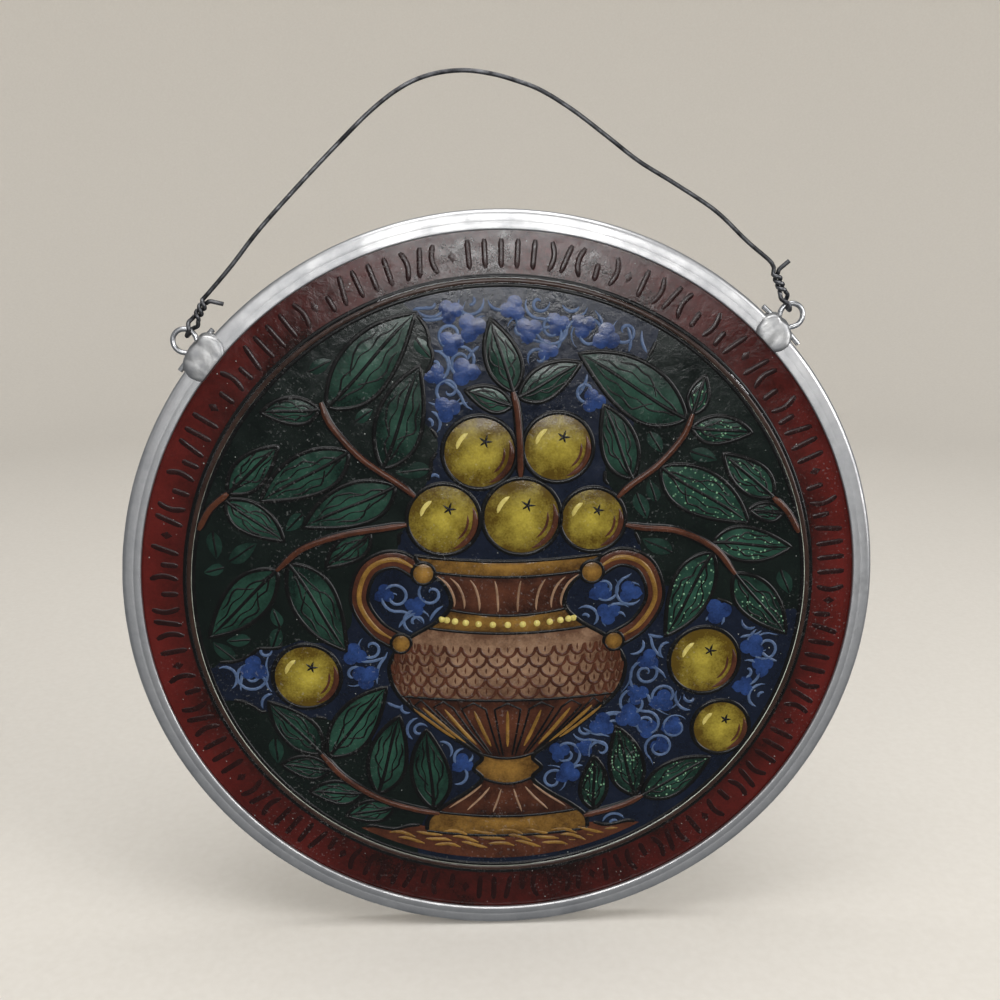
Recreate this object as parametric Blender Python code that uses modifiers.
# A round suncatcher: a painted glass disc in a metal came, with two soldered wire
# eyelets and a bent steel wire that it hangs by.
#
# Every size is in metres. +Z is up and the painted face looks towards -Y. The origin is
# under the top of the hanging wire, where a hook or nail carries the suncatcher.
# The disc's own frame is flat: x to the right, y up, z towards the viewer, with its
# origin in the middle of the glass. An empty stands that frame upright.

import math

import bmesh
import bpy
from mathutils import Matrix, Vector

MM = 0.001

# The disc
DISC_DIAMETER = 165.0 * MM      # over the came
GLASS_THICKNESS = 3.0 * MM
GLASS_EDGE_CHAMFER = 0.2 * MM
FIT_GAP = 0.3 * MM              # between a piece and what it sits in or on

# The came, a channel bent round the glass
CAME_FACE = 4.2 * MM            # width of the face, from the outer edge to the lip
CAME_FLANGE = 0.8 * MM          # thickness of the two walls that hold the glass
CAME_WEB = 0.9 * MM             # thickness of the wall round the glass's edge
CAME_SHOULDER = 1.1 * MM        # radius of the outer edge
CAME_LIP = 0.35 * MM            # how far the lip is rounded off

# The raised double line between the border and the picture
BEAD_RADIUS = 68.2 * MM         # to the middle of the line
BEAD_WIDTH = 2.2 * MM
BEAD_HEIGHT = 0.35 * MM

# The eyelets, each a loop of tinned wire with two feet along the came's edge
EYELET_WIRE = 1.1 * MM
EYELET_LOOP_RADIUS = 2.45 * MM  # to the middle of the wire
EYELET_BEND_RADIUS = 0.75 * MM  # where the loop turns into a foot
EYELET_LOOP_ANGLE = 130.0       # degrees of loop each side of its top
EYELET_FOOT = 5.6 * MM          # reach of a foot from the middle of the loop
EYELET_BEHIND_FACE = 1.4 * MM   # from the came's face back to the middle of the wire
LEFT_EYELET_ANGLE = -49.5       # degrees from the top of the disc
RIGHT_EYELET_ANGLE = 45.1

# The mounds of solder over the feet
LEFT_SOLDER_LENGTH = 10.6 * MM
RIGHT_SOLDER_LENGTH = 8.4 * MM
SOLDER_WIDTH = 5.6 * MM
SOLDER_RISE = 1.5 * MM          # above the came's face
SOLDER_OVERHANG = 1.4 * MM      # past the came's edge, over the foot

# The hanging wire
WIRE_DIAMETER = 0.9 * MM
WIRE_LINK_GAP = 0.3 * MM        # between the wire and the eyelet's wire where they link
WIRE_APEX_ABOVE_CAME = 26.5 * MM
WIRE_APEX_SIDEWAYS = -7.9 * MM  # the top of the wire is a little left of the middle
WIRE_LOOP_LENGTH = 2.8 * MM     # the open loop through the eyelet
WIRE_TWIST_LENGTH = 4.2 * MM    # the two strands twisted together
WIRE_TWIST_RADIUS = 0.57 * MM   # from the axis of the twist to each strand
WIRE_TWIST_TURNS = 1.5
WIRE_LOOP_TURNS = 0.25
WIRE_LOOP_BULGE = 0.25          # how far the open loop swells, as a share of its radius
WIRE_STUB = 2.6 * MM            # the cut end past the twist
LEFT_LINK_LEAN = 30.0           # degrees from straight up, towards the middle
RIGHT_LINK_LEAN = -24.0
# The bent arch from each link to the top, as shares of the way across and of the way up
LEFT_ARCH = [(0.09, 0.12), (0.20, 0.28), (0.35, 0.47), (0.50, 0.65), (0.65, 0.82),
             (0.77, 0.925), (0.88, 0.98)]
RIGHT_ARCH = [(0.085, 0.12), (0.19, 0.28), (0.32, 0.42), (0.44, 0.54), (0.54, 0.665),
              (0.65, 0.80), (0.75, 0.90), (0.83, 0.95), (0.91, 0.985)]
ARCH_POINT_SPACING = 2.5        # in wire diameters

# Fineness
DISC_STEPS = 90
BEVEL_RESOLUTION = 2
SHARP_ANGLE = math.radians(35.0)

# Sizes that follow
DISC_RADIUS = DISC_DIAMETER / 2
CAME_HALF_DEPTH = GLASS_THICKNESS / 2 + FIT_GAP + CAME_FLANGE
GLASS_RADIUS = DISC_RADIUS - CAME_WEB - FIT_GAP
LIP_RADIUS = DISC_RADIUS - CAME_FACE
EYELET_DEPTH = CAME_HALF_DEPTH - EYELET_BEHIND_FACE
FOOT_RADIUS = DISC_RADIUS + FIT_GAP + EYELET_WIRE / 2
APEX_RISE = DISC_RADIUS + WIRE_APEX_ABOVE_CAME
DISC_CENTRE = Vector((-WIRE_APEX_SIDEWAYS, 0.0, -(APEX_RISE - WIRE_DIAMETER / 2)))


def clear_scene():
    for obj in list(bpy.data.objects):
        bpy.data.objects.remove(obj, do_unlink=True)


def new_collection(name):
    collection = bpy.data.collections.new(name)
    bpy.context.scene.collection.children.link(collection)
    return collection


def make_material(name, colour, roughness, metallic, alpha=1.0):
    material = bpy.data.materials.new(name)
    material.use_nodes = True
    shader = material.node_tree.nodes["Principled BSDF"]
    shader.inputs["Base Color"].default_value = (*colour, 1.0)
    shader.inputs["Roughness"].default_value = roughness
    shader.inputs["Metallic"].default_value = metallic
    shader.inputs["Alpha"].default_value = alpha
    material.diffuse_color = (*colour, alpha)
    return material


def add_object(name, mesh, collection, material, parent):
    obj = bpy.data.objects.new(name, mesh)
    collection.objects.link(obj)
    if material:
        mesh.materials.append(material)
    obj.parent = parent
    return obj


def mark_as_cutter(obj):
    obj.hide_render = True
    obj.display_type = 'WIRE'


def arc_points(centre, radius, start, end, steps):
    """Points of an arc in the profile plane, angles in degrees from the first axis."""
    points = []
    for i in range(steps + 1):
        angle = math.radians(start + (end - start) * i / steps)
        points.append((centre[0] + radius * math.cos(angle),
                       centre[1] + radius * math.sin(angle)))
    return points


def turned_object(name, profile, closed, collection, material, parent):
    """Turn a profile of (radius, height) points about the disc's own axis."""
    mesh = bpy.data.meshes.new(name)
    count = len(profile)
    edges = [(i, i + 1) for i in range(count - 1)]
    if closed:
        edges.append((count - 1, 0))
    mesh.from_pydata([(radius, 0.0, height) for radius, height in profile], edges, [])
    obj = add_object(name, mesh, collection, material, parent)
    screw = obj.modifiers.new("turn", 'SCREW')
    screw.axis = 'Z'
    screw.angle = math.tau
    screw.steps = DISC_STEPS
    screw.render_steps = DISC_STEPS
    screw.use_merge_vertices = True
    screw.merge_threshold = 0.00001
    screw.use_smooth_shade = True
    return obj


def tube_curve(name, points, diameter, collection):
    """A round tube along points, with closed ends."""
    curve = bpy.data.curves.new(name, 'CURVE')
    curve.dimensions = '3D'
    curve.bevel_depth = diameter / 2
    curve.bevel_resolution = BEVEL_RESOLUTION
    curve.use_fill_caps = True
    spline = curve.splines.new('POLY')
    spline.points.add(len(points) - 1)
    for spline_point, point in zip(spline.points, points):
        spline_point.co = (*point, 1.0)
    obj = bpy.data.objects.new(name, curve)
    collection.objects.link(obj)
    return obj


def tube_object(name, points, diameter, collection, material, parent):
    """The same tube as a welded mesh."""
    curve_obj = tube_curve(name + "_path", points, diameter, collection)
    bpy.context.view_layer.update()
    evaluated = curve_obj.evaluated_get(bpy.context.evaluated_depsgraph_get())
    mesh = bpy.data.meshes.new_from_object(evaluated)
    mesh.name = name
    bpy.data.objects.remove(curve_obj, do_unlink=True)
    weld = bmesh.new()
    weld.from_mesh(mesh)
    bmesh.ops.remove_doubles(weld, verts=weld.verts, dist=0.000001)
    bmesh.ops.recalc_face_normals(weld, faces=weld.faces)
    weld.to_mesh(mesh)
    weld.free()
    mesh.materials.clear()
    mesh.shade_smooth()
    mesh.set_sharp_from_angle(angle=SHARP_ANGLE)
    return add_object(name, mesh, collection, material, parent)


def smooth_path(route, spacing):
    """Points at an even spacing on a smooth curve through the route's points."""
    ends = [route[0] * 2 - route[1]] + route + [route[-1] * 2 - route[-2]]
    points = [route[0]]
    for i in range(1, len(ends) - 2):
        before, start, end, after = ends[i - 1:i + 3]
        steps = max(1, round((end - start).length / spacing))
        for k in range(1, steps + 1):
            t = k / steps
            points.append(0.5 * (2 * start + (end - before) * t
                                 + (2 * before - 5 * start + 4 * end - after) * t ** 2
                                 + (3 * start - before - 3 * end + after) * t ** 3))
    return points


def came_outline(grow):
    """The outer side of the came's section, from its front face to its back face."""
    half_depth = CAME_HALF_DEPTH + grow
    shoulder = CAME_SHOULDER + grow
    centre = DISC_RADIUS - CAME_SHOULDER
    front = arc_points((centre, half_depth - shoulder), shoulder, 90, 0, 3)
    back = arc_points((centre, shoulder - half_depth), shoulder, 0, -90, 3)
    return front + back


def make_glass(collection, material, parent):
    front = GLASS_THICKNESS / 2
    half_bead = BEAD_WIDTH / 2
    bead_top = front + BEAD_HEIGHT
    bead_flat = half_bead / 2
    edge = GLASS_RADIUS - GLASS_EDGE_CHAMFER
    profile = [
        (0.0, front),
        (BEAD_RADIUS - half_bead, front),
        (BEAD_RADIUS - bead_flat, bead_top),
        (BEAD_RADIUS + bead_flat, bead_top),
        (BEAD_RADIUS + half_bead, front),
        (edge, front),
        (GLASS_RADIUS, front - GLASS_EDGE_CHAMFER),
        (GLASS_RADIUS, GLASS_EDGE_CHAMFER - front),
        (edge, -front),
        (0.0, -front),
    ]
    return turned_object("glass_pane", profile, False, collection, material, parent)


def make_came(collection, material, parent):
    lip_flat = LIP_RADIUS + CAME_LIP
    inner = CAME_HALF_DEPTH - CAME_FLANGE
    channel = DISC_RADIUS - CAME_WEB
    profile = [(LIP_RADIUS, CAME_HALF_DEPTH - CAME_LIP), (lip_flat, CAME_HALF_DEPTH)]
    profile += came_outline(0.0)
    profile += [
        (lip_flat, -CAME_HALF_DEPTH),
        (LIP_RADIUS, CAME_LIP - CAME_HALF_DEPTH),
        (LIP_RADIUS, -inner),
        (channel, -inner),
        (channel, inner),
        (LIP_RADIUS, inner),
    ]
    return turned_object("came", profile, True, collection, material, parent)


def eyelet_half():
    """One half of the eyelet, from the top of its loop to the end of its foot.

    Points are (along the rim, away from the disc) from the middle of the loop.
    """
    loop_end = math.radians(EYELET_LOOP_ANGLE)
    points = []
    loop_steps = 8
    for i in range(loop_steps + 1):
        angle = loop_end * i / loop_steps
        points.append(Vector((EYELET_LOOP_RADIUS * math.sin(angle),
                              EYELET_LOOP_RADIUS * math.cos(angle))))
    # The bend turns the other way, from the loop's direction to straight along the rim
    outward = Vector((math.sin(loop_end), math.cos(loop_end)))
    centre = points[-1] + outward * EYELET_BEND_RADIUS
    bend_steps = 4
    for i in range(1, bend_steps + 1):
        angle = math.radians(-90.0 - EYELET_LOOP_ANGLE)
        angle += math.radians(EYELET_LOOP_ANGLE) * i / bend_steps
        points.append(centre + EYELET_BEND_RADIUS * Vector((math.cos(angle), math.sin(angle))))
    return points


def eyelet_loop_offset():
    """How far the middle of the loop stands out from the feet."""
    return -eyelet_half()[-1].y


def eyelet_centre(angle):
    """The middle of an eyelet's loop, in the disc's frame."""
    reach = FOOT_RADIUS + eyelet_loop_offset()
    turn = math.radians(angle)
    return Vector((reach * math.sin(turn), reach * math.cos(turn), EYELET_DEPTH))


def eyelet_path(angle):
    """The whole eyelet in the disc's frame, from one foot's end to the other's."""
    reach = FOOT_RADIUS + eyelet_loop_offset()
    half = eyelet_half()
    foot_steps = 3
    foot_start = half[-1].x
    foot = [foot_start + (EYELET_FOOT - foot_start) * i / foot_steps
            for i in range(1, foot_steps + 1)]
    side = [(point.x, reach + point.y) for point in half]
    along_rim = [(FOOT_RADIUS * math.sin(x / FOOT_RADIUS),
                  FOOT_RADIUS * math.cos(x / FOOT_RADIUS)) for x in foot]
    side += along_rim
    both = [(-x, y) for x, y in reversed(side[1:])] + side
    turn = Matrix.Rotation(math.radians(-angle), 4, 'Z')
    return [turn @ Vector((x, y, EYELET_DEPTH)) for x, y in both]


def make_eyelet(name, angle, collection, material, parent):
    return tube_object(name, eyelet_path(angle), EYELET_WIRE, collection, material, parent)


def make_rim_cutter(collection, parent):
    """The came with the glass inside, grown by the gap, to cut the solder with."""
    depth = CAME_HALF_DEPTH + FIT_GAP
    core = LIP_RADIUS - CAME_FACE
    profile = [(core, depth)] + came_outline(FIT_GAP) + [(core, -depth)]
    cutter = turned_object("rim_cutter", profile, True, collection, None, parent)
    mark_as_cutter(cutter)
    return cutter


def make_solder(name, angle, length, rim_cutter, collection, cutters, material, parent):
    """A mound of solder on the came's face and edge, wrapped over the eyelet's feet."""
    mound_depth = SOLDER_RISE + CAME_SHOULDER
    middle = DISC_RADIUS + SOLDER_OVERHANG - SOLDER_WIDTH / 2
    mesh = bpy.data.meshes.new(name)
    mound = bmesh.new()
    bmesh.ops.create_uvsphere(mound, u_segments=24, v_segments=12, radius=1.0)
    bmesh.ops.scale(mound, vec=(length / 2, SOLDER_WIDTH / 2, mound_depth), verts=mound.verts)
    bmesh.ops.translate(mound, verts=mound.verts,
                        vec=(0.0, middle, CAME_HALF_DEPTH - CAME_SHOULDER))
    # Bend the mound round the rim
    for vert in mound.verts:
        turn = vert.co.x / middle
        reach = vert.co.y
        vert.co.x = reach * math.sin(turn)
        vert.co.y = reach * math.cos(turn)
    mound.to_mesh(mesh)
    mound.free()
    mesh.shade_smooth()
    obj = add_object(name, mesh, collection, material, parent)
    obj.rotation_euler.z = math.radians(-angle)
    wire_cutter = tube_object(name + "_wire_cutter", eyelet_path(angle),
                              EYELET_WIRE + 2 * FIT_GAP, cutters, None, parent)
    mark_as_cutter(wire_cutter)
    for cutter in (rim_cutter, wire_cutter):
        cut = obj.modifiers.new("cut_" + cutter.name, 'BOOLEAN')
        cut.operation = 'DIFFERENCE'
        cut.solver = 'EXACT'
        cut.object = cutter
    return obj


def link_frame(angle, lean):
    """Where the hanging wire links an eyelet: its middle, the pull and the sideways axis."""
    turn = math.radians(lean)
    pull = Vector((math.sin(turn), math.cos(turn), 0.0))
    sideways = Vector((math.cos(turn), -math.sin(turn), 0.0))
    return eyelet_centre(angle) + pull * EYELET_LOOP_RADIUS, pull, sideways


def link_strand(middle, pull, sideways, front):
    """One strand of a wire's end, from under the eyelet's wire to the end of the twist."""
    open_radius = EYELET_WIRE / 2 + WIRE_LINK_GAP + WIRE_DIAMETER / 2
    side = 1.0 if front else -1.0
    depth = Vector((0.0, 0.0, 1.0))
    points = []
    under_steps = 5
    for i in range(1, under_steps):
        angle = math.radians(90.0) * i / under_steps
        points.append(middle + side * depth * open_radius * math.sin(angle)
                      - pull * open_radius * math.cos(angle))
    loop_steps = 6
    twist_steps = 18
    for i in range(loop_steps + twist_steps + 1):
        if i <= loop_steps:
            share = i / loop_steps
            ease = share * share * (3.0 - 2.0 * share)
            swell = 1.0 + WIRE_LOOP_BULGE * math.sin(math.pi * share)
            radius = (open_radius + (WIRE_TWIST_RADIUS - open_radius) * ease) * swell
            turns = WIRE_LOOP_TURNS * ease
            height = WIRE_LOOP_LENGTH * share
        else:
            share = (i - loop_steps) / twist_steps
            radius = WIRE_TWIST_RADIUS
            turns = WIRE_LOOP_TURNS + WIRE_TWIST_TURNS * share
            height = WIRE_LOOP_LENGTH + WIRE_TWIST_LENGTH * share
        angle = math.radians(90.0) + math.tau * turns
        points.append(middle + pull * height
                      + side * radius * (sideways * math.cos(angle) + depth * math.sin(angle)))
    return points


def wire_end(angle, lean):
    """One end of the hanging wire, from its cut tip to where the arch begins."""
    middle, pull, sideways = link_frame(angle, lean)
    bottom = middle - pull * (EYELET_WIRE / 2 + WIRE_LINK_GAP + WIRE_DIAMETER / 2)
    tail = link_strand(middle, pull, sideways, True)
    main = link_strand(middle, pull, sideways, False)
    tip_side = (tail[-1] - main[-1]).normalized()
    stub_bend = tail[-1] + (pull * 0.5 + tip_side * 0.5) * WIRE_DIAMETER
    stub_tip = stub_bend + (tip_side * 0.95 + pull * 0.3) * WIRE_STUB
    stub = [stub_tip, (stub_tip + stub_bend) / 2, stub_bend]
    knot = middle + pull * (WIRE_LOOP_LENGTH + WIRE_TWIST_LENGTH + 2.5 * WIRE_DIAMETER)
    return stub + list(reversed(tail)) + [bottom] + main, knot


def arch_route(knot, apex, shares):
    across = apex.x - knot.x
    rise = apex.y - knot.y
    depth = apex.z - knot.z
    return [Vector((knot.x + across * s, knot.y + rise * t, knot.z + depth * t))
            for s, t in shares]


def make_hanging_wire(collection, material, parent):
    left_end, left_knot = wire_end(LEFT_EYELET_ANGLE, LEFT_LINK_LEAN)
    right_end, right_knot = wire_end(RIGHT_EYELET_ANGLE, RIGHT_LINK_LEAN)
    apex = Vector((WIRE_APEX_SIDEWAYS, APEX_RISE, 0.0))
    route = [left_end[-1], left_knot]
    route += arch_route(left_knot, apex, LEFT_ARCH)
    route += [apex]
    route += reversed(arch_route(right_knot, apex, RIGHT_ARCH))
    route += [right_knot, right_end[-1]]
    arch = smooth_path(route, WIRE_DIAMETER * ARCH_POINT_SPACING)
    points = left_end + arch[1:-1] + list(reversed(right_end))
    return tube_object("hanging_wire", points, WIRE_DIAMETER, collection, material, parent)


def build():
    clear_scene()
    parts = new_collection("suncatcher")
    cutters = new_collection("cutters")

    glass = make_material("painted_glass", (0.045, 0.05, 0.06), 0.08, 0.0, 0.6)
    lead = make_material("tinned_came", (0.42, 0.42, 0.44), 0.35, 1.0)
    tinned_wire = make_material("tinned_wire", (0.62, 0.62, 0.63), 0.25, 1.0)
    solder = make_material("solder", (0.66, 0.66, 0.66), 0.2, 1.0)
    steel = make_material("steel_wire", (0.16, 0.16, 0.17), 0.45, 1.0)

    disc = bpy.data.objects.new("disc_frame", None)
    parts.objects.link(disc)
    disc.location = DISC_CENTRE
    disc.rotation_euler.x = math.radians(90.0)

    make_glass(parts, glass, disc)
    make_came(parts, lead, disc)
    rim_cutter = make_rim_cutter(cutters, disc)
    for side, angle, length in (("left", LEFT_EYELET_ANGLE, LEFT_SOLDER_LENGTH),
                                ("right", RIGHT_EYELET_ANGLE, RIGHT_SOLDER_LENGTH)):
        make_eyelet(side + "_eyelet", angle, parts, tinned_wire, disc)
        make_solder(side + "_solder", angle, length, rim_cutter, parts, cutters, solder, disc)
    make_hanging_wire(parts, steel, disc)


build()
